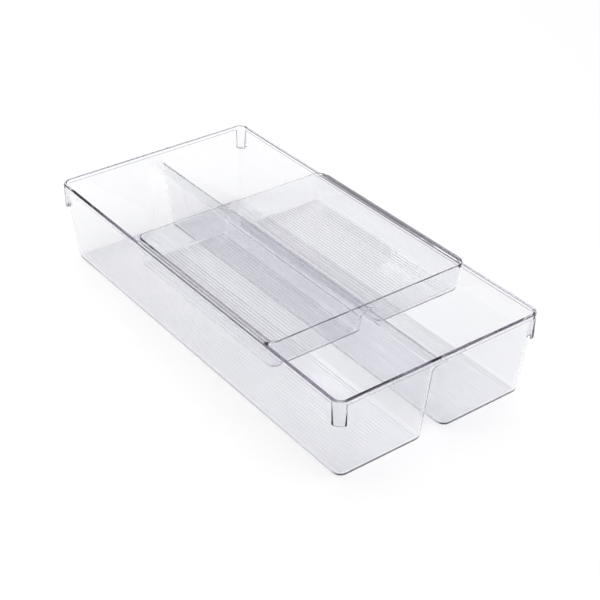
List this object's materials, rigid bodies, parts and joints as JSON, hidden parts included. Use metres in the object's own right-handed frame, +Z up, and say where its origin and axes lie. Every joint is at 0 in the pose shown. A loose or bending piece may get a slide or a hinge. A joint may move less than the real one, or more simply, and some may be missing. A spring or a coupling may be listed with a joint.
{
  "type": "drawer organizer",
  "caption": "Clear moulded drawer organizer with two long lanes parted by a hollow ridge, and a half-length sliding tray riding on its side rims.",
  "frame": {"origin": "middle of the base's footprint, on the drawer floor", "axes": "+Z up, +X across the two lanes to the right, +Y from the front to the back along the long side"},
  "size_m": [0.195, 0.399, 0.0785],
  "materials": {
    "base_plastic": "clear moulded plastic, polished",
    "tray_plastic": "clear moulded plastic, polished"
  },
  "bodies": {
    "base": {"organizer_base": "base_plastic"},
    "tray": {"sliding_tray": "tray_plastic"}
  },
  "joints": [
    {"name": "tray_slide", "type": "slide", "parent": "base", "child": "tray", "axis": [0, 1, 0], "range_m": [-0.0798, 0.1217]}
  ]
}
